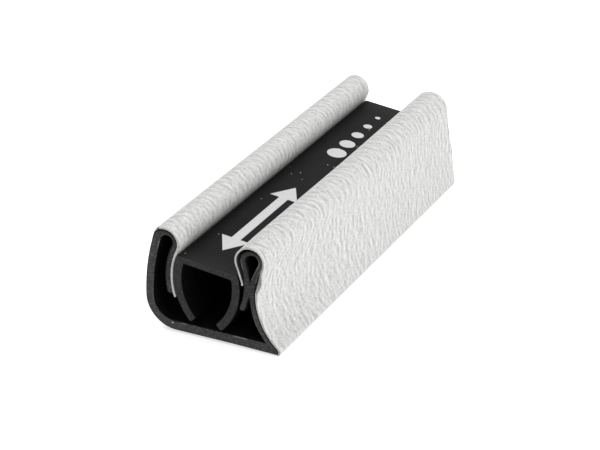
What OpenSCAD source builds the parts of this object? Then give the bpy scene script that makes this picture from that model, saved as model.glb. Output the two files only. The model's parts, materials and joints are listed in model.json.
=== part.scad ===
// Hand sanding block: an extruded rubber body, a sheet of abrasive paper wrapped round it, and a sprung
// insert between the two rolled lips that holds the ends of the sheet down. At the front end the sheet is
// pressed into the hollow of the front wall, and further back it stands off and spans the hollow.
// Millimetres. +Y runs along the block, +X points to the hollow front wall and +Z points up from the
// sanding face. The origin is under the middle of the block, on the sanding face.

/* [Body] */
// Length of the body along its extrusion
block_l = 114.3; // [40:0.1:220]
// Width of the bare body, from the back wall to the front nose
body_w = 38.3; // [35:0.1:60]
// Height of the bare body, from the sole to the top of the back lip
body_h = 28.4; // [22:0.1:35]
// Thickness of the sole
sole_t = 2.7; // [1:0.1:5]
// Thickness of the back wall
back_wall_t = 2.4; // [0.8:0.1:4.5]
// Thickness of the hollow front wall
front_wall_t = 1.75; // [0.6:0.05:3]
// Outer radius of the round lower corner under the back wall
corner_r = 8.6; // [4:0.1:14]
// Radius of the slight outward bow of the back wall
back_bow_r = 58; // [36:1:110]
// Radius of the hollow in the front wall
front_hollow_r = 18.5; // [10:0.1:34]
// Radius of the nose where the front wall meets the sole
nose_r = 0.8; // [0.3:0.05:1.5]

/* [Lips] */
// Thickness of the back lip
back_lip_t = 1.65; // [0.9:0.05:3]
// Thickness of the front lip
front_lip_t = 1.75; // [0.9:0.05:3]
// Thickness of the front lip's roll, over its top and on its outer side
front_roll_t = 1.3; // [0.8:0.05:2]
// Height by which the front lip's top is lower than the back lip's
front_lip_low = 0.7; // [0:0.1:2]
// Angle below level, seen from the insert, at which the back lip ends
back_lip_drop = 12; // [4:0.5:24]
// Angle below level, seen from the insert, at which the front lip ends
front_lip_drop = 21; // [10:0.5:36]
// Rise of the front lip's inner face above the insert's leg, which leans the lip away at the top
front_lip_rise = 2.4; // [1.2:0.1:4.5]
// Depth of rubber shared by the front lip and the wall where they join at the neck
neck_join = 0.15; // [0.05:0.05:0.3]

/* [Insert] */
// Width across the outsides of the two legs
insert_w = 19.1; // [14:0.1:22]
// Distance of the insert's middle from the middle of the body, towards the back wall
insert_shift = 1.25; // [0:0.05:2.8]
// Outer radius of the curved legs
leg_r = 17.7; // [12:0.1:30]
// Thickness of the legs
leg_t = 2.35; // [1.5:0.05:4]
// Height of the back leg's widest point above the sole
back_leg_wide_z = 15.2; // [10:0.1:19]
// Height of the front leg's widest point above the sole
front_leg_wide_z = 15.7; // [11:0.1:19]
// Gap between the back leg's tip and the sole
back_leg_gap = 0.9; // [0.3:0.1:3]
// Gap between the front leg's tip and the sole
front_leg_gap = 0.3; // [0.2:0.1:3]
// Thickness of the web that joins the legs
web_t = 1.95; // [0.8:0.05:3.8]
// Depth of the middle of the web's top below the back lip's top
web_depth = 7.45; // [3:0.05:12]
// Slope of the web down towards the front wall, in degrees
web_tilt = 7; // [0:0.5:14]
// Radius of the web's two outer edges
web_edge_r = 0.8; // [0.3:0.1:1.5]
// Radius of the two corners under the web
web_root_r = 0.5; // [0.2:0.1:1]
// Radius of the corners at the legs' tips
leg_tip_r = 0.7; // [0.3:0.05:1]

/* [Sheet] */
// Thickness of the paper backing
backing_t = 0.25; // [0.1:0.05:0.5]
// Thickness of the abrasive coat
coat_t = 0.25; // [0.1:0.05:0.5]
// Distance of the sheet's front edge from the front end of the body
sheet_inset = 0.5; // [0:0.1:10]
// Length of sheet that shows below the back lip's tip
back_tail = 1.8; // [0.5:0.1:4]
// Angle above level, seen from the insert, at which the sheet's front end stops behind the front lip
front_tuck_a = 5.4; // [1:0.1:20]
// Gap between that end of the sheet and the front lip's face
front_tuck_gap = 0.2; // [0.1:0.05:0.4]
// Angle round the front lip's roll at which the sheet lifts off it, from level on the nose's side
front_lift_a = 135; // [100:1:190]
// Length from the sheet's front edge over which it comes out of the hollow in the front wall
span_l = 65; // [20:1:110]
// Radius of the shallow hollow left in the sheet where it spans the front wall
span_r = 400; // [60:10:1000]
// Radius by which the sheet's bend over the front lip is larger at its front edge than the lip's own roll
lip_slack = 0.25; // [0:0.05:0.8]
// Radius by which that bend is larger where the sheet spans the front wall
span_slack = 1.2; // [0.2:0.1:2]
// Clearance between the sliding insert and what it slides along
slide_gap = 0.3; // [0.2:0.05:0.6]

/* [Hidden] */

// Longest facet and largest turn between facets on the curved faces
facet_l = 1.1;
facet_turn = 7.5;
// Length by which a cut runs past the face it opens
cut_past = 1;
// Steps along the stretch of sheet tucked behind the front lip, and the share of its length over which
// each end of its curve pulls straight on
tuck_steps = 24;
tuck_pull = 0.46;
// Steps along the block in which the sheet comes out of the hollow
span_steps = 7;
// Two points of an outline nearer than this are one point
same_point = 0.0001;

// Heights and ends of the body
sheet_t = backing_t + coat_t;
sole_z = sheet_t;
floor_z = sole_z + sole_t;
back_top_z = sole_z + body_h;
front_top_z = back_top_z - front_lip_low;
back_x = -body_w / 2;
nose_c = [body_w / 2 - nose_r, sole_z + nose_r];

// Legs of the insert: each curves round a centre on the other side
leg_in_r = leg_r - leg_t;
leg_reach = leg_r - insert_w / 2;
back_leg_c = [leg_reach - insert_shift, sole_z + back_leg_wide_z];
front_leg_c = [-leg_reach - insert_shift, sole_z + front_leg_wide_z];

// Inner faces of the lips: the back one follows the back leg, with the sheet in between
back_face_r = leg_r + slide_gap + sheet_t;
back_tip_a = 180 + back_lip_drop;
front_face_c = front_leg_c + [0, front_lip_rise];
front_face_r = leg_r + slide_gap + front_lip_rise * sin(front_lip_drop);
front_tip_a = -front_lip_drop;

// Round lower corner and bowed back wall
corner_c = [back_x + corner_r, sole_z + corner_r];
corner_in_r = corner_r - sole_t;
corner_in_c = [back_x + back_wall_t + corner_in_r, corner_c[1]];
bow_c = [back_x + back_bow_r, corner_c[1]];
bow_in_r = back_bow_r - back_wall_t;

// Hollow front wall: it starts at the nose, and its inner side meets the front lip at the neck
lip_back_r = front_face_r + front_lip_t;
hollow_in_r = front_hollow_r + front_wall_t;
hollow_c = crossing(nose_c, front_hollow_r + nose_r, front_face_c, hollow_in_r + lip_back_r - neck_join, 1);
neck_low = crossing(front_face_c, lip_back_r, hollow_c, hollow_in_r, 1);
neck_high = crossing(front_face_c, lip_back_r, hollow_c, hollow_in_r, -1);
heel = level_crossing(hollow_c, hollow_in_r, floor_z, -1);

// Rolls of the two lips, outside and inside, as [centre, radius]
back_roll = roll(bow_c, -back_bow_r, back_leg_c, back_face_r, back_top_z);
back_roll_in = roll(bow_c, -bow_in_r, back_leg_c, back_face_r + back_lip_t, back_top_z - back_lip_t);
front_roll = roll(hollow_c, front_hollow_r, front_face_c, front_face_r, front_top_z);
front_roll_in =
    roll(hollow_c, front_hollow_r + front_roll_t, front_face_c, lip_back_r, front_top_z - front_roll_t);

// Centre of the curve along which the wall thins from the neck up to the front lip's roll
thin_c = crossing(neck_high, hollow_in_r, front_roll_in[0], hollow_in_r + front_roll_in[1], 1);

// Facets round the nose, up the hollow and over the front lip, the same in every section
front_facets = [
    facets(nose_r, -90, bearing(nose_c, hollow_c)),
    facets(front_hollow_r, heading(hollow_c, nose_c), heading(hollow_c, front_roll[0])),
    facets(front_roll[1], heading(hollow_c, front_roll[0]) - 180, front_lift_a)
];

// Sections of the sheet, at distances from its front edge
sheet_l = block_l - sheet_inset;
span_end = min(span_l, sheet_l);
sheet_sections = concat(
    [for (i = [0:span_steps]) span_end * i / span_steps],
    span_end < sheet_l ? [sheet_l] : []
);

// Web of the insert: directions along and out of its sloping top, and the middle of that top
web_along = unit(-web_tilt);
web_up_a = 90 - web_tilt;
web_top = [-insert_shift, back_top_z - web_depth];

// Distances of the legs' tip rounds from the legs' centres, and the angles at which the legs end
tip_out_r = leg_r - leg_tip_r;
tip_in_r = leg_in_r + leg_tip_r;
back_leg_a = 180 + tip_drop(back_leg_c, back_leg_gap);
front_leg_a = -tip_drop(front_leg_c, front_leg_gap);

function unit(a) = [cos(a), sin(a)];

// Direction from one point to another, from -180 to 180 degrees
function bearing(from, to) = atan2(to[1] - from[1], to[0] - from[0]);

// The same direction from 0 to 360 degrees
function heading(from, to) = (bearing(from, to) + 360) % 360;

// Crossing of two circles: side 1 lies to the right on the way from the first centre to the second
function crossing(ca, ra, cb, rb, side) =
    let (d = norm(cb - ca), u = (cb - ca) / d, a = (ra * ra - rb * rb + d * d) / (2 * d))
    ca + a * u + side * sqrt(ra * ra - a * a) * [u[1], -u[0]];

// Crossing of a circle with a level line, on the side of the centre that side gives
function level_crossing(c, r, z, side) = [c[0] + side * sqrt(r * r - pow(z - c[1], 2)), z];

// Circle under the level line at height top that touches a wall's circle and a lip's circle. The wall's
// radius is negative where the roll lies inside the wall's bow. Each contact gives the roll's radius as
// a quadratic in x, and setting the two equal leaves one quadratic.
function roll(wall_c, wall_r, lip_c, lip_r, top) =
    let (
        dw = wall_r + top - wall_c[1],
        dl = lip_r + top - lip_c[1],
        kw = pow(top - wall_c[1], 2) - wall_r * wall_r,
        kl = pow(top - lip_c[1], 2) - lip_r * lip_r,
        a = dl - dw,
        b = 2 * (dw * lip_c[0] - dl * wall_c[0]),
        c = dl * (pow(wall_c[0], 2) + kw) - dw * (pow(lip_c[0], 2) + kl),
        x = 2 * c / (sqrt(b * b - 4 * a * c) - b),
        r = (pow(x - lip_c[0], 2) + kl) / (2 * dl)
    )
    [[x, top - r], r];

// Angle by which a leg's tip round at distance reach from the leg's centre stays back from the leg's end
function tip_turn(reach) = asin(leg_tip_r / reach);

// Drop below level of the end of a leg round c at which its outer corner clears the sole by gap
function tip_drop(c, gap) =
    asin((c[1] - floor_z - gap - leg_tip_r) / tip_out_r) + tip_turn(tip_out_r);

// Number of facets along an arc
function facets(r, from, to) =
    let (turn = abs(to - from))
    ceil(max(turn / facet_turn, turn * r * PI / 180 / facet_l));

// Arc as a list of points, moved outwards by d where it turns left and inwards where it turns right
function arc(c, r, from, to, d = 0, steps = 0) =
    let (n = steps > 0 ? steps : facets(r, from, to), rd = r + d * sign(to - from))
    [for (i = [0:n]) c + rd * unit(from + (to - from) * i / n)];

// Outline without the points that repeat where one arc runs on into the next
function outline(points) =
    [for (i = [0:len(points) - 1])
        if (norm(points[i] - points[i == 0 ? len(points) - 1 : i - 1]) > same_point) points[i]];

function reverse(points) = [for (i = [len(points) - 1:-1:0]) points[i]];

// Outside of the body from the back lip's tip to the back of its nose, moved out by d
function back_wrap(d) =
    let (back_top = heading(back_leg_c, back_roll[0]), bow_top = heading(bow_c, back_roll[0]))
    concat(
        arc(back_leg_c, back_face_r, back_tip_a, back_top, d),
        arc(back_roll[0], back_roll[1], back_top - 180, bow_top, d),
        arc(bow_c, back_bow_r, bow_top, 180, d),
        arc(corner_c, corner_r, 180, 270, d)
    );

// Line from the back of the nose up a hollow and over a roll, given as [centre, radius], to where the sheet
// lifts off the front lip, moved out by d
function front_wrap(d, hollow_r, over) =
    let (
        c = crossing(nose_c, hollow_r + nose_r, over[0], hollow_r + over[1], 1),
        nose_top = bearing(nose_c, c),
        hollow_top = heading(c, over[0])
    )
    concat(
        arc(nose_c, nose_r, -90, nose_top, d, front_facets[0]),
        arc(c, hollow_r, nose_top + 180, hollow_top, d, front_facets[1]),
        arc(over[0], over[1], hollow_top - 180, front_lift_a, d, front_facets[2])
    );

// Bend of the sheet over the front lip, as [centre, radius]. It touches the lip's roll on its outer side
// where share is 0, and where the sheet lifts off where share is 1.
function sheet_roll(share) =
    let (front = (1 - share) * lip_slack, back = share * span_slack)
    [front_roll[0] - front * unit(bearing(front_roll[0], hollow_c)) - back * unit(front_lift_a),
        front_roll[1] + front + back];

// End of the back tuck, which runs on along the back leg past the lip's tip
function back_end(d) =
    arc(back_leg_c, back_face_r, back_tip_a + back_tail / back_face_r * 180 / PI, back_tip_a, d);

// Front tuck: a Bezier curve that leaves the sheet's bend over the lip and ends along the lip's face
function front_end(d, over) =
    let (
        start = over[0] + over[1] * unit(front_lift_a),
        end_z = front_leg_c[1] + (leg_r + slide_gap + sheet_t) * sin(front_tuck_a),
        end = level_crossing(front_face_c, front_face_r - front_tuck_gap, end_z, 1),
        end_a = bearing(front_face_c, end),
        pull = tuck_pull * norm(end - start),
        p = [start, start + pull * unit(front_lift_a + 90), end - pull * unit(end_a - 90), end]
    )
    [for (i = [0:tuck_steps])
        let (
            s = i / tuck_steps,
            t = 1 - s,
            point = t * t * t * p[0] + 3 * t * t * s * p[1] + 3 * t * s * s * p[2] + s * s * s * p[3],
            way = t * t * (p[1] - p[0]) + 2 * t * s * (p[2] - p[1]) + s * s * (p[3] - p[2])
        )
        point + d * [way[1], -way[0]] / norm(way)];

// Line of the sheet, moved out from the body by d. It hugs the hollow where share is 0 and spans it where
// share is 1, with as many points.
function sheet_line(d, share) =
    let (
        over = sheet_roll(share),
        hollow_r = 1 / ((1 - share) / front_hollow_r + share / span_r)
    )
    outline(concat(back_end(d), back_wrap(d), front_wrap(d, hollow_r, over), front_end(d, over)));

// Share by which the sheet spans the hollow at a distance from its front edge: it starts and ends gently
function span_share(along) =
    let (s = min(1, along / span_l))
    s * s * (3 - 2 * s);

// Outline of the body without the hollow of its front lip
function body_outline() =
    let (
        face_top = bearing(front_face_c, front_roll[0]),
        bow_in_top = heading(bow_c, back_roll_in[0]),
        lip_in_top = heading(back_leg_c, back_roll_in[0]),
        back_lip_mid = back_lip_t / 2,
        front_lip_mid = front_lip_t / 2
    )
    outline(concat(
        back_wrap(0),
        front_wrap(0, front_hollow_r, front_roll),
        arc(front_roll[0], front_roll[1], front_lift_a, face_top + 180),
        arc(front_face_c, front_face_r, face_top, front_tip_a),
        arc(front_face_c + (front_face_r + front_lip_mid) * unit(front_tip_a), front_lip_mid,
            front_tip_a + 180, front_tip_a + 360),
        arc(front_face_c, lip_back_r, front_tip_a, bearing(front_face_c, neck_low)),
        arc(hollow_c, hollow_in_r, heading(hollow_c, neck_low), heading(hollow_c, heel)),
        arc(corner_in_c, corner_in_r, 270, 180),
        arc(bow_c, bow_in_r, 180, bow_in_top),
        arc(back_roll_in[0], back_roll_in[1], bow_in_top, lip_in_top - 180),
        arc(back_leg_c, back_face_r + back_lip_t, lip_in_top, back_tip_a),
        arc(back_leg_c + (back_face_r + back_lip_mid) * unit(back_tip_a), back_lip_mid,
            back_tip_a, back_tip_a + 180)
    ));

// Outline of the hollow inside the front lip's roll
function roll_hollow_outline() =
    let (
        wall_top = heading(thin_c, front_roll_in[0]),
        lip_top = bearing(front_face_c, front_roll_in[0])
    )
    outline(concat(
        arc(front_roll_in[0], front_roll_in[1], wall_top - 180, lip_top + 180),
        arc(front_face_c, lip_back_r, lip_top, bearing(front_face_c, neck_high)),
        arc(thin_c, hollow_in_r, heading(thin_c, neck_high), wall_top)
    ));

// Centre of a round of radius r that touches a line depth below the web's top and a leg's circle of
// radius leg_circle_r from inside, on the side of the leg's centre that side gives
function web_round(c, leg_circle_r, depth, r, side) =
    let (
        web_up = unit(web_up_a),
        from_top = c - web_top,
        along = from_top * web_along,
        up = -depth - r,
        reach = sqrt(pow(leg_circle_r - r, 2) - pow(up - from_top * web_up, 2))
    )
    web_top + (along + side * reach) * web_along + up * web_up;

// Rounded end of a leg that curves round c and ends at angle a, from its outside to its inside. On its way
// down the leg turns left where way is 1 and right where way is -1.
function leg_end(c, a, way) =
    let (out_a = a - way * tip_turn(tip_out_r), in_a = a - way * tip_turn(tip_in_r))
    concat(
        arc(c + tip_out_r * unit(out_a), leg_tip_r, out_a, a + way * 90),
        arc(c + tip_in_r * unit(in_a), leg_tip_r, a + way * 90, in_a + way * 180)
    );

function insert_outline() =
    let (
        back_edge = web_round(back_leg_c, leg_r, 0, web_edge_r, -1),
        back_root = web_round(back_leg_c, leg_in_r, web_t, web_root_r, -1),
        front_edge = web_round(front_leg_c, leg_r, 0, web_edge_r, 1),
        front_root = web_round(front_leg_c, leg_in_r, web_t, web_root_r, 1),
        back_edge_a = heading(back_leg_c, back_edge),
        back_root_a = heading(back_leg_c, back_root),
        front_edge_a = bearing(front_leg_c, front_edge),
        front_root_a = bearing(front_leg_c, front_root)
    )
    outline(concat(
        arc(back_edge, web_edge_r, web_up_a, back_edge_a),
        arc(back_leg_c, leg_r, back_edge_a, back_leg_a - tip_turn(tip_out_r)),
        leg_end(back_leg_c, back_leg_a, 1),
        arc(back_leg_c, leg_in_r, back_leg_a - tip_turn(tip_in_r), back_root_a),
        arc(back_root, web_root_r, back_root_a, web_up_a),
        arc(front_root, web_root_r, web_up_a, front_root_a),
        arc(front_leg_c, leg_in_r, front_root_a, front_leg_a + tip_turn(tip_in_r)),
        reverse(leg_end(front_leg_c, front_leg_a, -1)),
        arc(front_leg_c, leg_r, front_leg_a + tip_turn(tip_out_r), front_edge_a),
        arc(front_edge, web_edge_r, front_edge_a, web_up_a)
    ));

// Bar of the given section, which runs along the block between two places
module bar(section, from_y, to_y) {
    translate([0, to_y, 0])
        rotate([90, 0, 0])
            linear_extrude(to_y - from_y)
                polygon(section);
}

// Solid through the sections of a band, at the given places along the block. Each section runs down one
// side of the band and back up the other, with as many points on both sides and in every section. Both
// sides are cut into triangles along the same diagonals, so two bands fit where one lies on the other.
module band_loft(sections, places) {
    n = len(sections[0]);
    last = len(sections) - 1;
    points = [for (i = [0:last], point = sections[i]) [point[0], places[i], point[1]]];
    sides = [for (i = [0:last - 1], j = [0:n - 1])
        let (a = i * n + j, b = i * n + (j + 1) % n)
        each j < n / 2 ? [[a, b + n, b], [a, a + n, b + n]] : [[a, a + n, b], [b, a + n, b + n]]];
    front = [for (j = [0:n / 2 - 2]) [j, j + 1, n - 2 - j, n - 1 - j]];
    back = [for (face = front) last * n * [1, 1, 1, 1] + reverse(face)];
    polyhedron(points, concat(front, sides, back));
}

// Layer of the wrapped sheet between two distances from the body
module sheet_layer(inner, outer) {
    band_loft(
        [for (along = sheet_sections)
            let (share = span_share(along))
            concat(sheet_line(inner, share), reverse(sheet_line(outer, share)))],
        [for (along = sheet_sections) sheet_inset - block_l / 2 + along]
    );
}

module block_body() {
    color("#3c3c3e")
        difference() {
            bar(body_outline(), -block_l / 2, block_l / 2);
            bar(roll_hollow_outline(), -block_l / 2 - cut_past, block_l / 2 + cut_past);
        }
}

module locking_insert() {
    color("#2c2c2e")
        bar(insert_outline(), -block_l / 2, block_l / 2);
}

module paper_backing() {
    color("#cfcdc8")
        sheet_layer(0, backing_t);
}

module abrasive_coat() {
    color("#d9d9d7")
        sheet_layer(backing_t, sheet_t);
}

block_body();
locking_insert();
paper_backing();
abrasive_coat();
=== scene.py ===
import json
import math
from collections import namedtuple

import bmesh
import bpy
from mathutils import Matrix, Vector

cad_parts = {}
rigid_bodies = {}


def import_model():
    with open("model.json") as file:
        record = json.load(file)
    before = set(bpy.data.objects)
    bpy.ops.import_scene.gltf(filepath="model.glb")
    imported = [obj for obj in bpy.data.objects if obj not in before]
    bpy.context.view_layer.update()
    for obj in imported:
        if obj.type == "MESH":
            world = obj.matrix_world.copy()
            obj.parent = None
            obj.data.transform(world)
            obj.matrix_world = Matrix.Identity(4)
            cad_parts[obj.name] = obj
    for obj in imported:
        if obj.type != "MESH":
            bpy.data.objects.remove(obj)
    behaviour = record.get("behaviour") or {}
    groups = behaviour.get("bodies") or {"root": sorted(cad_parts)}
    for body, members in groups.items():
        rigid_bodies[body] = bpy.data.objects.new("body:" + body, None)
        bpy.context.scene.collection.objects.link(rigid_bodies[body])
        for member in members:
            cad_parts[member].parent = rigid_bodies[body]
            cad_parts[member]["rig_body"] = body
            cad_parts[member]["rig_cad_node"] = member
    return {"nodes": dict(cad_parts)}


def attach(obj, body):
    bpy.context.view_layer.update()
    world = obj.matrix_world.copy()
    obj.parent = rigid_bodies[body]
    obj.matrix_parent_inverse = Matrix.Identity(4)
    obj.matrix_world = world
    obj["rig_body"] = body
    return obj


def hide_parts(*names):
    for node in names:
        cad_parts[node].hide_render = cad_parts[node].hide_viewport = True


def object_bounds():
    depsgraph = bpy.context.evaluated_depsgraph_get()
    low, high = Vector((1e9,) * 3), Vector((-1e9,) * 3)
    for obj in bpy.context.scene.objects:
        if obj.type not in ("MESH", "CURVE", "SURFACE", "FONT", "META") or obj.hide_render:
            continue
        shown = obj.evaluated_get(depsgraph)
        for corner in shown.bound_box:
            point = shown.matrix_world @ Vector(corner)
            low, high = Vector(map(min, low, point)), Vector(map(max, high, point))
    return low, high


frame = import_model()
cad_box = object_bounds()

# Sizes and places are named in millimetres, in the frame's axes: x across the block, y along it and z up
MM = 0.001

# Camera: its place, how far it is turned and looks down in degrees, its focal length and sensor, and the
# nearest that it sees
CAMERA_PLACE = (222.0, -454.8, 255.2)
CAMERA_TURN = 26.33
CAMERA_DOWN = 26.04
CAMERA_LENS = 122.1
SENSOR_WIDTH = 36
CAMERA_NEAR = 10

# Light: how strongly the white surround lights the block, the softboxes with their power in watts, and the
# point that they look at
SURROUND_LIGHT = 0.46
Softbox = namedtuple("Softbox", "name place size watts")
SOFTBOXES = (
    Softbox("side_softbox", place=(900, -100, 200), size=(800, 250), watts=4.9),
    Softbox("back_softbox", place=(-500, 100, 850), size=(700, 700), watts=5.3),
)
LIGHT_AIM = (0, 0, 15)

# Floor: its width, its grey, and the glow that whitens it where it is seen
FLOOR_WIDTH = 6000
FLOOR_GREY = 0.8
FLOOR_GLOW = 0.6

# Corners closer together than this are one
MERGE_WITHIN = 0.002
# Angle under which two faces lie in one plane, and over which an edge stays sharp
SAME_PLANE = math.radians(0.4)
SHARP_EDGE = math.radians(20)
# How squarely a face looks along an axis, from 0 to 1: over END_FACING it is a cut end of the block, the
# first strip of a rounded rim is just under RIM_FACING, and under SIDE_FACING it is a side
END_FACING = 0.99
RIM_FACING = 0.95
SIDE_FACING = 0.6

# Worn edges round the cut ends: their width on the body and on the insert, and the strips that round them
BODY_RIM = 0.4
INSERT_RIM = 0.4
RIM_SEGMENTS = 2
# Sharpest angle between two rim edges that is still rounded, and the length left sharp on both sides of one
# that isn't
CUSP_ANGLE = math.radians(45)
CUSP_CLEAR = 1.6

# Where a finish changes: the height of the section's middle, where the lips' painted shade starts and is
# full across and up the block, and where the insert's top starts to pale and is palest, along the block
# either way
SECTION_MIDDLE = 14
LIPS_ACROSS = (-16.5, -14.0)
LIPS_HEIGHT = (10.0, 15.0)
PALE_ENDS = (50.0, 57.0)
# Share of a dust speck's radius over which it is solid
DUST_CORE = 0.6

# Sheet: its size before it was wrapped, the rows that cross it, how many pieces each side of its outline is
# split into, and the length from its front edge over which it comes out of the front wall's hollow
SHEET_ROWS = 57
RING_SPLITS = 2
SPAN_LENGTH = 65.0
# Sheet's edges: how far the front one stays back from the body's end and the rear one stands past it, and
# how ragged they are, with the two waves that this follows, in radians per millimetre across and up the
# section
FRONT_SET_BACK = 0.05
REAR_OVERHANG = 0.9
EDGE_FRAY = 0.05
FRAY_WAVES = ((3.1, 4.3), (-2.3, 1.7))
# Stretches of the section where an edge was trimmed shorter: the stretch's low and high corner across and
# up the section, the length over which the trim fades beside, below and above it, and how far back it goes
Trim = namedtuple("Trim", "low high fade back")
FRONT_TRIMS = (
    # Back wall, and the shoulder of its lip
    Trim((-20.0, 1.0), (-14.5, 24.5), fade=(2.0, 2.0, 2.0), back=1.5),
    Trim((-20.0, 22.0), (-15.6, 28.5), fade=(1.2, 2.0, 2.0), back=1.5),
    # Sole
    Trim((-16.0, -1.0), (18.2, 0.6), fade=(0.9, 0.9, 0.9), back=1.5),
    # Pinch under the front lip
    Trim((12.6, 17.9), (15.6, 18.6), fade=(0.5, 0.6, 5.0), back=1.9),
)
REAR_TRIMS = (
    # Front lip, and the top of the front wall
    Trim((8.0, 17.6), (20.0, 30.0), fade=(3.0, 7.4, 1.0), back=2.3),
    # Sole, and the lower part of both walls
    Trim((-20.0, -1.0), (20.0, 16.0), fade=(1.0, 1.0, 6.0), back=0.4),
)
# Slack in the sheet's loop over the front lip: how far its tucked end stands off inwards, how much more the
# loop does at its rear edge, how far its crown stands off upwards near its front edge and at its rear edge,
# and the share of the length over which the crown comes off the lip
TUCK_SLACK = 0.28
LOOP_SLACK = 0.32
CROWN_SLACK = (0.16, 0.34)
CROWN_RISE = 0.09
# Where the slack starts and is full: the tucked end and the loop by height, and the loop's inner side and
# its crown by place across the block
TUCK_HEIGHT = (18.4, 20.2)
LOOP_HEIGHT = (20.5, 24.5)
LOOP_INSIDE = (12.2, 9.5)
LOOP_CROWN = (17.0, 14.0)

# Ink of the marks that are printed on the insert's top: its thickness
INK_THICKNESS = 0.03
# Arrow: its middle along and across the top, its length, its bar's width, and its heads' width and length
ARROW_MIDDLE = (-27.0, -0.6)
ARROW_LENGTH = 42.0
ARROW_BAR = 2.6
HEAD_WIDTH = 8.2
HEAD_LENGTH = 7.38
# Discs: the first one's place along the top, the step to the next, their place across it, and their widths
# and corners
DISC_START = 20.0
DISC_STEP = 7.0
DISC_ACROSS = -0.6
DISC_WIDTHS = (5.6, 4.6, 3.6, 2.6, 1.6)
DISC_CORNERS = 48


# Editing by hand

def deselect_all():
    bpy.ops.object.select_all(action="DESELECT")


def pick(piece):
    """Leaves only this piece selected and active."""
    deselect_all()
    piece.select_set(True)
    bpy.context.view_layer.objects.active = piece


def start_edit(piece, mode):
    """Opens a piece in edit mode with nothing selected."""
    pick(piece)
    bpy.ops.object.mode_set(mode="EDIT")
    bpy.ops.mesh.select_mode(type=mode)
    bpy.ops.mesh.select_all(action="DESELECT")
    return bmesh.from_edit_mesh(piece.data)


def end_edit():
    bpy.ops.object.mode_set(mode="OBJECT")


def merge_corners():
    """Selects all of the mesh that is being edited and joins corners that lie on each other."""
    bpy.ops.mesh.select_all(action="SELECT")
    bpy.ops.mesh.remove_doubles(threshold=MERGE_WITHIN * MM)


def copy_of_node(node, name):
    """A merged copy of a frame node: the start of a finished piece."""
    pick(frame["nodes"][node])
    bpy.ops.object.duplicate()
    piece = bpy.context.active_object
    piece.name = name
    piece.data.name = name
    piece.parent = None
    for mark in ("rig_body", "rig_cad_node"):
        del piece[mark]
    piece.data.materials.clear()
    start_edit(piece, "VERT")
    bpy.ops.mesh.select_all(action="SELECT")
    bpy.ops.mesh.customdata_custom_splitnormals_clear()
    merge_corners()
    end_edit()
    return piece


def join_flat_faces(piece):
    """Makes each flat face of a copy whole again."""
    start_edit(piece, "VERT")
    bpy.ops.mesh.select_all(action="SELECT")
    bpy.ops.mesh.dissolve_limited(angle_limit=SAME_PLANE)
    end_edit()


def is_end(face):
    return abs(face.normal.y) > END_FACING


def is_rim(edge):
    ends = [is_end(face) for face in edge.link_faces]
    return any(ends) and not all(ends)


def is_cusp(corner):
    """Whether two rim edges meet at a corner in a narrow gap, which leaves no room to round them."""
    ways = [edge.other_vert(corner).co - corner.co for edge in corner.link_edges if is_rim(edge)]
    return len(ways) == 2 and ways[0].angle(ways[1]) < CUSP_ANGLE


def round_rims(piece, width):
    """Rounds the edges all round both cut ends, apart from those in a narrow gap."""
    shape = start_edit(piece, "EDGE")
    cusps = [corner.co for corner in shape.verts if is_cusp(corner)]
    for edge in shape.edges:
        middle = (edge.verts[0].co + edge.verts[1].co) / 2
        clear = all((middle - cusp).length > CUSP_CLEAR * MM for cusp in cusps)
        edge.select = clear and is_rim(edge)
    bmesh.update_edit_mesh(piece.data)
    bpy.ops.mesh.bevel(offset=width * MM, segments=RIM_SEGMENTS, profile=0.5, affect="EDGES")
    merge_corners()
    end_edit()


def smooth(piece):
    pick(piece)
    bpy.ops.object.shade_smooth_by_angle(angle=SHARP_EDGE)


def finish_piece(piece, material, body, slot, *nodes):
    """Gives a piece its finish and its body, and hides the frame nodes that it stands for; its slot is not
    used.
    """
    piece.data.materials.append(material)
    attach(piece, body)
    if nodes:
        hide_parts(*nodes)


# Node helpers

def new_material(name):
    material = bpy.data.materials.new(name)
    material.use_nodes = True
    return material, material.node_tree, material.node_tree.nodes["Principled BSDF"]


def add(tree, kind, inputs=None, **settings):
    """Adds a node. An input that is given as a socket is linked, and any other is set."""
    made = tree.nodes.new(kind)
    for name, value in settings.items():
        setattr(made, name, value)
    for key, value in (inputs or {}).items():
        if isinstance(value, bpy.types.NodeSocket):
            tree.links.new(value, made.inputs[key])
        else:
            made.inputs[key].default_value = value
    return made


def place_of(tree, scale):
    """Object coordinates, stretched per axis, in features per millimetre."""
    coordinates = add(tree, "ShaderNodeTexCoord").outputs["Object"]
    per_metre = [axis / MM for axis in scale]
    return add(tree, "ShaderNodeMapping", {"Vector": coordinates, "Scale": per_metre}).outputs[0]


def noise(tree, scale, detail=3.0, rough=0.5, bend=0.0):
    texture = add(tree, "ShaderNodeTexNoise", {
        "Vector": place_of(tree, scale), "Scale": 1.0,
        "Detail": detail, "Roughness": rough, "Distortion": bend,
    })
    return texture.outputs["Fac"]


def strokes(tree, scale, per_cell, straight):
    """Short strokes that run round the block, with this many side by side in each cell of the pattern."""
    texture = add(tree, "ShaderNodeTexGabor", {
        "Vector": place_of(tree, scale), "Scale": 1.0,
        "Frequency": per_cell, "Anisotropy": straight, "Orientation": (0, 1, 0),
    }, gabor_type="3D")
    return texture.outputs["Value"]


def ramp(tree, value, *stops):
    """Colour ramp through (place, grey or colour) stops."""
    made = add(tree, "ShaderNodeValToRGB", {"Fac": value})
    elements = made.color_ramp.elements
    while len(elements) < len(stops):
        elements.new(0.5)
    for element, (place, colour) in zip(elements, stops):
        element.position = place
        element.color = (*colour, 1) if isinstance(colour, tuple) else (colour, colour, colour, 1)
    return made.outputs["Color"]


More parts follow.
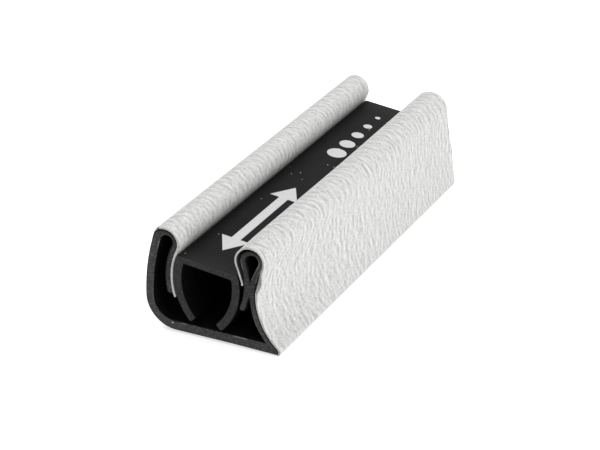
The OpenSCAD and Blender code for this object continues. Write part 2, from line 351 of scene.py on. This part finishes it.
def span(tree, value, low, high, to_low=0.0, to_high=1.0):
    """Maps a value between low and high to the range between two others, and holds it there."""
    return add(tree, "ShaderNodeMapRange", {
        "Value": value, "From Min": low, "From Max": high, "To Min": to_low, "To Max": to_high,
    }).outputs["Result"]


def maths(tree, operation, a, b):
    return add(tree, "ShaderNodeMath", {0: a, 1: b}, operation=operation).outputs[0]


def mixed(tree, share, a, b, blend="MIX"):
    """Colour a, with this share of colour b mixed in."""
    made = add(tree, "ShaderNodeMix", {"Factor": share}, data_type="RGBA", blend_type=blend)
    for key, value in (("A", a), ("B", b)):
        socket = next(s for s in made.inputs if s.name == key and s.type == "RGBA")
        if isinstance(value, bpy.types.NodeSocket):
            tree.links.new(value, socket)
        else:
            socket.default_value = (*value, 1)
    return next(s for s in made.outputs if s.type == "RGBA")


def bump(tree, shader, height, strength, depth):
    made = add(tree, "ShaderNodeBump", {"Height": height, "Strength": strength, "Distance": depth * MM})
    tree.links.new(made.outputs[0], shader.inputs["Normal"])


# Masks

def facing(tree, axis):
    """How squarely a face looks along an axis of the block, from -1 to 1."""
    normal = add(tree, "ShaderNodeTexCoord").outputs["Normal"]
    return add(tree, "ShaderNodeSeparateXYZ", {0: normal}).outputs[axis]


def end_facing(tree):
    """How squarely a face looks along the block either way, from 0 to 1."""
    return maths(tree, "ABSOLUTE", facing(tree, "Y"), 0.0)


def place_along(tree, axis):
    """Place along an axis of the block, in millimetres."""
    return add(tree, "ShaderNodeSeparateXYZ", {0: place_of(tree, (1, 1, 1))}).outputs[axis]


def cut_end_mask(tree):
    """1 on the faces that look along the block, where the extrusion was cut, and 0 elsewhere."""
    return span(tree, end_facing(tree), SIDE_FACING, RIM_FACING)


def top_mask(tree):
    """1 on the faces that look up, and 0 elsewhere."""
    return span(tree, facing(tree, "Z"), SIDE_FACING, RIM_FACING)


def lip_shade_mask(tree):
    """1 on both lips and the top of the front wall, where shade is painted on the cut ends, and 0 on the
    rest of the body.
    """
    across = span(tree, place_along(tree, "X"), *LIPS_ACROSS)
    return maths(tree, "MULTIPLY", across, span(tree, place_along(tree, "Z"), *LIPS_HEIGHT))


def outer_rim_shade_mask(tree):
    """1 on the rounded edges round the outside of the cut ends, where a dark outline is painted as shade,
    and 0 on the ends and their inner edges.
    """
    normal = add(tree, "ShaderNodeTexCoord").outputs["Normal"]
    from_middle = add(tree, "ShaderNodeMapping", {
        "Vector": place_of(tree, (1, 0, 1)), "Location": (0, 0, -SECTION_MIDDLE),
    }).outputs[0]
    outwards = add(tree, "ShaderNodeVectorMath", {0: normal, 1: from_middle}, operation="DOT_PRODUCT")
    outer = span(tree, outwards.outputs["Value"], -1.0, 1.0)
    return maths(tree, "MULTIPLY", outer, span(tree, end_facing(tree), END_FACING, RIM_FACING))


def rim_highlight_mask(tree, per_mm):
    """1 on stretches of the edges round the cut ends where a highlight is painted, and 0 elsewhere."""
    on_rim = ramp(
        tree, end_facing(tree), (SIDE_FACING, 0.0), (0.8, 1.0), (RIM_FACING, 1.0), (END_FACING, 0.0))
    rim_lit = span(tree, noise(tree, (per_mm,) * 3, detail=2.0), 0.52, 0.64)
    return maths(tree, "MULTIPLY", on_rim, rim_lit)


def dust_mask(tree, per_mm, radius, share):
    """Scattered specks of sanding dust with soft edges, in this share of the pattern's cells."""
    cells = add(tree, "ShaderNodeTexVoronoi", {"Vector": place_of(tree, (per_mm,) * 3), "Scale": 1.0})
    picked = add(tree, "ShaderNodeSeparateColor", {0: cells.outputs["Color"]}).outputs[0]
    solid = DUST_CORE * radius
    near = span(tree, cells.outputs["Distance"], radius * per_mm, solid * per_mm)
    return maths(tree, "MULTIPLY", near, maths(tree, "GREATER_THAN", picked, 1.0 - share))


# Finishes

def black_rubber():
    """Dark mottled skin, and paler, dusty sawn ends, with painted shade on the lips, a painted dark outline
    round the outside and painted highlights on stretches of the inner edges.
    """
    material, tree, shader = new_material("black_rubber")
    mottle = noise(tree, (1.1, 0.35, 1.1), detail=5.0, rough=0.6)
    skin = ramp(tree, mottle, (0.3, 0.002), (0.7, 0.006))
    knife = noise(tree, (1.3, 0.4, 2.6), detail=5.0, rough=0.7, bend=0.5)
    dark, plain, scuffed = (0.04, 0.04, 0.042), (0.07, 0.07, 0.073), (0.17, 0.17, 0.175)
    sawn = ramp(tree, knife, (0.3, dark), (0.5, plain), (0.7, scuffed))
    # Painted shade: the sawn ends of both lips and of the top of the front wall are darkened to two thirds.
    lip_shaded = mixed(tree, lip_shade_mask(tree), sawn, (0.66, 0.66, 0.66), "MULTIPLY")
    cut = cut_end_mask(tree)
    # Painted shade: the rounded edges round the outside of the cut ends keep most of the skin's dark colour,
    # a painted dark outline, and get no painted highlight.
    outer_rim_shade = maths(tree, "MULTIPLY", outer_rim_shade_mask(tree), 0.65)
    bare = mixed(tree, maths(tree, "SUBTRACT", cut, outer_rim_shade), skin, lip_shaded)
    # Painted highlight: paler stretches on the inner edges of the cut ends, where the edges catch light.
    patches = maths(tree, "SUBTRACT", rim_highlight_mask(tree, per_mm=0.16), outer_rim_shade)
    rim_lit = mixed(tree, patches, bare, (0.24, 0.24, 0.245))
    dust = maths(tree, "MULTIPLY", dust_mask(tree, per_mm=0.63, radius=0.28, share=0.22), cut)
    dusty = mixed(tree, dust, rim_lit, (0.75, 0.75, 0.75))
    tree.links.new(dusty, shader.inputs["Base Color"])
    rough = span(tree, noise(tree, (2.0, 2.0, 2.0)), 0.3, 0.7, 0.62, 0.82)
    tree.links.new(rough, shader.inputs["Roughness"])
    shader.inputs["Specular IOR Level"].default_value = 0.06
    grain = noise(tree, (4.0, 4.0, 4.0), detail=4.0, rough=0.6)
    bump(tree, shader, grain, strength=0.35, depth=0.06)
    return material


def satin_plastic():
    """Drawn skin, satin on top and paler towards the top's ends, dull and darker on the sides, where the
    darker colour is painted shade, with painted highlights on stretches of the edges and sawn ends.
    """
    material, tree, shader = new_material("satin_plastic")
    top = top_mask(tree)
    drawn = noise(tree, (5.0, 0.02, 5.0), rough=0.6)
    fresh_skin = ramp(tree, drawn, (0.3, (0.0092, 0.0092, 0.01)), (0.7, (0.0155, 0.0155, 0.0165)))
    from_middle = maths(tree, "ABSOLUTE", place_along(tree, "Y"), 0.0)
    smooth_skin = mixed(tree, span(tree, from_middle, *PALE_ENDS), fresh_skin, (0.022, 0.022, 0.023))
    # Painted shade: the sides, with the insert's hollow, get a colour several times darker than the top, so
    # that the hollow stays black.
    side_shade_skin = ramp(tree, drawn, (0.3, 0.002), (0.7, 0.005))
    skin = mixed(tree, top, side_shade_skin, smooth_skin)
    knife = noise(tree, (1.6, 0.5, 1.6), detail=5.0, rough=0.7, bend=0.3)
    sawn = ramp(tree, knife, (0.3, 0.029), (0.7, 0.078))
    ends = mixed(tree, cut_end_mask(tree), skin, sawn)
    # Painted highlight: paler stretches on the edges round the insert's cut ends.
    rim_lit = mixed(tree, rim_highlight_mask(tree, per_mm=0.2), ends, (0.05, 0.05, 0.052))
    dusty = mixed(tree, dust_mask(tree, per_mm=0.5, radius=0.22, share=0.2), rim_lit, (0.6, 0.6, 0.6))
    tree.links.new(dusty, shader.inputs["Base Color"])
    sheen = span(tree, noise(tree, (0.3, 0.12, 0.3)), 0.3, 0.7, 0.4, 0.5)
    dull = 0.8
    matt = maths(tree, "SUBTRACT", dull, maths(tree, "MULTIPLY", top, dull))
    tree.links.new(maths(tree, "MAXIMUM", sheen, matt), shader.inputs["Roughness"])
    shader.inputs["Specular IOR Level"].default_value = 0.04
    bump(tree, shader, drawn, strength=0.25, depth=0.02)
    return material


def abrasive_grain():
    """Light grey grit with short streaks that run round the block."""
    material, tree, shader = new_material("abrasive_grain")
    streaks = strokes(tree, (0.45, 0.4, 0.45), per_cell=1.1, straight=0.93)
    grit = noise(tree, (1.5, 2.2, 1.5), detail=2.0, rough=0.6)
    lay = maths(tree, "ADD", maths(tree, "MULTIPLY", streaks, 0.46), maths(tree, "MULTIPLY", grit, 0.54))
    dull, fresh, bright = (0.50, 0.497, 0.487), (0.68, 0.677, 0.665), (0.82, 0.82, 0.81)
    coat = ramp(tree, lay, (0.36, dull), (0.5, fresh), (0.64, bright))
    tree.links.new(coat, shader.inputs["Base Color"])
    shader.inputs["Roughness"].default_value = 0.9
    shader.inputs["Specular IOR Level"].default_value = 0.2
    bump(tree, shader, lay, strength=0.5, depth=0.15)
    return material


def backing_paper():
    """Pale fibrous cut edges, and a back that is painted dark grey as shade in the gap between the sheet and
    the rubber.
    """
    material, tree, shader = new_material("backing_paper")
    fibres = noise(tree, (3.0, 3.0, 3.0), detail=4.0, rough=0.65, bend=0.5)
    cut_edge = ramp(tree, fibres, (0.3, (0.66, 0.655, 0.63)), (0.7, (0.82, 0.815, 0.79)))
    # Painted shade: the paper's back is mottled dark grey, standing for shade in the gap where it stands off
    # the rubber.
    back_mottle = noise(tree, (0.9, 0.5, 0.9), detail=4.0, rough=0.6)
    shaded_back = ramp(tree, back_mottle, (0.3, (0.05, 0.05, 0.05)), (0.7, (0.13, 0.128, 0.122)))
    tree.links.new(mixed(tree, cut_end_mask(tree), shaded_back, cut_edge), shader.inputs["Base Color"])
    shader.inputs["Roughness"].default_value = 0.85
    shader.inputs["Specular IOR Level"].default_value = 0.25
    bump(tree, shader, fibres, strength=0.4, depth=0.05)
    return material


def white_ink():
    """White print, greyer in worn spots."""
    material, tree, shader = new_material("white_ink")
    patches = noise(tree, (3.5, 3.5, 3.5), detail=4.0, rough=0.6)
    ink = ramp(tree, patches, (0.25, (0.60, 0.60, 0.61)), (0.45, (0.80, 0.80, 0.81)))
    tree.links.new(ink, shader.inputs["Base Color"])
    shader.inputs["Roughness"].default_value = 0.5
    bump(tree, shader, patches, strength=0.2, depth=0.01)
    return material


# Body and insert

def extrusion(node, name, rim):
    """A copy of an extruded node, with whole faces and with rims of this width round its cut ends."""
    piece = copy_of_node(node, name)
    join_flat_faces(piece)
    round_rims(piece, rim)
    smooth(piece)
    return piece


def rubber_body():
    piece = extrusion("block_body", "rubber_body", BODY_RIM)
    finish_piece(piece, black_rubber(), "block", "body_rubber", "block_body")


def sprung_insert():
    piece = extrusion("locking_insert", "sprung_insert", INSERT_RIM)
    finish_piece(piece, satin_plastic(), "insert", "insert_plastic", "locking_insert")
    return piece


# Sheet

def ease(share):
    """A share from 0 to 1 that starts and ends gently."""
    share = min(max(share, 0), 1)
    return share * share * (3 - 2 * share)


def between(value, start, full):
    """A share that grows gently from 0 to 1 between two values."""
    return ease((value - start) / (full - start))


def loop_slack(point, along):
    """How far the sheet stands off the front lip at a point of the section and a share of its length."""
    x, z = point.x / MM, point.z / MM
    if x < 0:
        return Vector()
    front, rear = CROWN_SLACK
    loop = between(z, *LOOP_HEIGHT)
    inwards = TUCK_SLACK * between(z, *TUCK_HEIGHT) + LOOP_SLACK * along * loop
    upwards = (front + (rear - front) * along) * between(along, 0, CROWN_RISE) * loop
    return Vector((-inwards * between(x, *LOOP_INSIDE), 0, upwards * between(x, *LOOP_CROWN))) * MM


def edge_trim(point, trims):
    """How much shorter an edge of the sheet was trimmed at a point of the section."""
    x, z = point.x / MM, point.z / MM
    back = 0
    for trim in trims:
        beside, below, above = trim.fade
        across = max(trim.low[0] - x, 0, x - trim.high[0]) / beside
        upright = max((trim.low[1] - z) / below, 0, (z - trim.high[1]) / above)
        back = max(back, trim.back * ease(1 - math.hypot(across, upright)))
    fray = math.prod(math.sin(x * per_x + z * per_z) for per_x, per_z in FRAY_WAVES)
    return max(0, back + EDGE_FRAY * fray) * MM


def end_outline(piece, way):
    """Outline of a layer's front end (way -1) or back end (way 1), in order from the top of the back lip."""
    shape = bmesh.new()
    shape.from_mesh(piece.data)
    for face in shape.faces:
        face.tag = face.normal.y * way > END_FACING
    beside = {}
    for edge in shape.edges:
        if sum(face.tag for face in edge.link_faces) == 1:
            one, other = edge.verts
            beside.setdefault(one, []).append(other)
            beside.setdefault(other, []).append(one)
    top = max((corner for corner in beside if corner.co.x < 0), key=lambda corner: corner.co.z)
    ring = [top, max(beside[top], key=lambda corner: corner.co.x)]
    while len(ring) < len(beside):
        ring.append(next(corner for corner in beside[ring[-1]] if corner != ring[-2]))
    places = []
    for corner, after in zip(ring, ring[1:] + ring[:1]):
        places += [corner.co.lerp(after.co, split / RING_SPLITS) for split in range(RING_SPLITS)]
    shape.free()
    return places


def sheet_layer(node, name):
    """A layer of the sheet, lofted from its trimmed front edge in the hollow to its slack back edge."""
    piece = copy_of_node(node, name)
    front = end_outline(piece, -1)
    back = end_outline(piece, 1)
    starts = [cad_box[0].y + FRONT_SET_BACK * MM + edge_trim(point, FRONT_TRIMS) for point in front]
    stops = [cad_box[1].y + REAR_OVERHANG * MM - edge_trim(point, REAR_TRIMS) for point in back]
    shape = bmesh.new()
    rows = []
    for row in range(SHEET_ROWS + 1):
        along = row / SHEET_ROWS
        ring = []
        for near, far, start, stop in zip(front, back, starts, stops):
            y = start + (stop - start) * along
            place = near.lerp(far, between(y, near.y, near.y + SPAN_LENGTH * MM))
            place += loop_slack(place, along)
            ring.append(shape.verts.new((place.x, y, place.z)))
        rows.append(ring)
    for near, far in zip(rows, rows[1:]):
        for one in range(len(near)):
            shape.faces.new((near[one - 1], near[one], far[one], far[one - 1]))
    shape.faces.new(rows[0])
    shape.faces.new(rows[-1])
    bmesh.ops.recalc_face_normals(shape, faces=shape.faces)
    shape.to_mesh(piece.data)
    shape.free()
    smooth(piece)
    return piece


def abrasive_sheet():
    """The backing and the coat that is bonded to it."""
    backing = sheet_layer("paper_backing", "sheet_backing")
    finish_piece(backing, backing_paper(), "block", "backing_paper", "paper_backing")
    coat = sheet_layer("abrasive_coat", "sheet_coat")
    finish_piece(coat, abrasive_grain(), "block", "abrasive_grain", "abrasive_coat")


# Printed marks

def insert_top(insert):
    """How the insert's sloping top is turned, and its middle."""
    upper = [face for face in insert.data.polygons if face.normal.z > SIDE_FACING]
    top = max(upper, key=lambda face: face.area)
    normal = top.normal.copy()
    along = Vector((0, 1, 0))
    turn = Matrix((along.cross(normal), along, normal)).transposed().to_4x4()
    return turn, Vector(top.center)


def lay_ink(piece, insert, ink):
    """Thickens a flat mark drawn at the origin and lays it on the insert's top."""
    turn, middle = insert_top(insert)
    film = piece.modifiers.new("film", "SOLIDIFY")
    film.thickness = INK_THICKNESS * MM
    film.offset = 1
    pick(piece)
    bpy.ops.object.modifier_apply(modifier="film")
    piece.data.transform(Matrix.Translation((middle.x, 0, middle.z)) @ turn)
    finish_piece(piece, ink, "insert", "insert_plastic")


def slide_arrow(insert, ink):
    """Two-headed arrow that shows which way the insert slides."""
    deselect_all()
    along, across = ARROW_MIDDLE
    tip, bar, wing = ARROW_LENGTH / 2, ARROW_BAR / 2, HEAD_WIDTH / 2
    neck = tip - HEAD_LENGTH
    one_side = [(0, tip), (-wing, neck), (-bar, neck), (-bar, -neck), (-wing, -neck)]
    corners = one_side + [(-x, -y) for x, y in one_side]
    bpy.ops.mesh.primitive_circle_add(vertices=len(corners), fill_type="NGON")
    piece = bpy.context.active_object
    piece.name = "slide_arrow"
    shape = start_edit(piece, "VERT")
    for vertex, (x, y) in zip(shape.verts, corners):
        vertex.co = ((across + x) * MM, (along + y) * MM, 0)
    bmesh.update_edit_mesh(piece.data)
    end_edit()
    lay_ink(piece, insert, ink)


def grade_discs(insert, ink):
    """Row of discs from large to small, for coarse to fine."""
    deselect_all()
    for number, width in enumerate(DISC_WIDTHS):
        bpy.ops.mesh.primitive_circle_add(
            vertices=DISC_CORNERS, radius=width / 2 * MM, fill_type="NGON",
            location=(DISC_ACROSS * MM, (DISC_START + number * DISC_STEP) * MM, 0))
        disc = bpy.context.active_object
        disc.name = f"grade_disc_{number + 1}"
        bpy.ops.object.transform_apply(location=True, rotation=True, scale=True)
        lay_ink(disc, insert, ink)


# Floor, light and camera

def seen_directly(tree):
    """1 for what the camera sees, straight, mirrored or through glass, and 0 for light on the object."""
    path = add(tree, "ShaderNodeLightPath").outputs
    seen = maths(tree, "MAXIMUM", path["Is Camera Ray"], path["Is Glossy Ray"])
    return maths(tree, "MAXIMUM", seen, path["Is Transmission Ray"])


def pale_floor():
    """Floor that glows only where it is seen, so that it looks white and lights the block no more for it."""
    deselect_all()
    bpy.ops.mesh.primitive_plane_add(size=FLOOR_WIDTH * MM)
    floor = bpy.context.active_object
    floor.name = "floor"
    material, tree, shader = new_material("pale_floor")
    shader.inputs["Base Color"].default_value = (FLOOR_GREY, FLOOR_GREY, FLOOR_GREY, 1)
    shader.inputs["Roughness"].default_value = 0.9
    shader.inputs["Specular IOR Level"].default_value = 0.0
    shader.inputs["Emission Color"].default_value = (1, 1, 1, 1)
    glow = maths(tree, "MULTIPLY", seen_directly(tree), FLOOR_GLOW)
    tree.links.new(glow, shader.inputs["Emission Strength"])
    floor.data.materials.append(material)


def white_surround():
    """Surround that is white where it is seen, and dimmer as light on the block."""
    world = bpy.data.worlds.new("white_surround")
    bpy.context.scene.world = world
    world.use_nodes = True
    tree = world.node_tree
    sky = tree.nodes["Background"]
    sky.inputs["Color"].default_value = (1, 1, 1, 1)
    strength = span(tree, seen_directly(tree), 0, 1, SURROUND_LIGHT, 1.0)
    tree.links.new(strength, sky.inputs["Strength"])


def softbox(name, place, size, watts):
    """Lamp of a width and height that looks at the block."""
    deselect_all()
    bpy.ops.object.light_add(type="AREA", location=[axis * MM for axis in place])
    lamp = bpy.context.active_object
    lamp.name = name
    lamp.data.shape = "RECTANGLE"
    lamp.data.size, lamp.data.size_y = [side * MM for side in size]
    lamp.data.energy = watts
    aim = Vector(LIGHT_AIM) - Vector(place)
    lamp.rotation_euler = aim.to_track_quat("-Z", "Y").to_euler()


def photo_camera():
    deselect_all()
    bpy.ops.object.camera_add(
        location=[axis * MM for axis in CAMERA_PLACE],
        rotation=(math.radians(90 - CAMERA_DOWN), 0, math.radians(CAMERA_TURN)))
    camera = bpy.context.active_object
    camera.name = "photo_camera"
    camera.data.lens = CAMERA_LENS
    camera.data.sensor_width = SENSOR_WIDTH
    camera.data.clip_start = CAMERA_NEAR * MM
    bpy.context.scene.camera = camera


photo_camera()
white_surround()
for box in SOFTBOXES:
    softbox(*box)
pale_floor()

rubber_body()
insert = sprung_insert()
abrasive_sheet()
ink = white_ink()
slide_arrow(insert, ink)
grade_discs(insert, ink)

bpy.context.scene.view_settings.view_transform = "Standard"
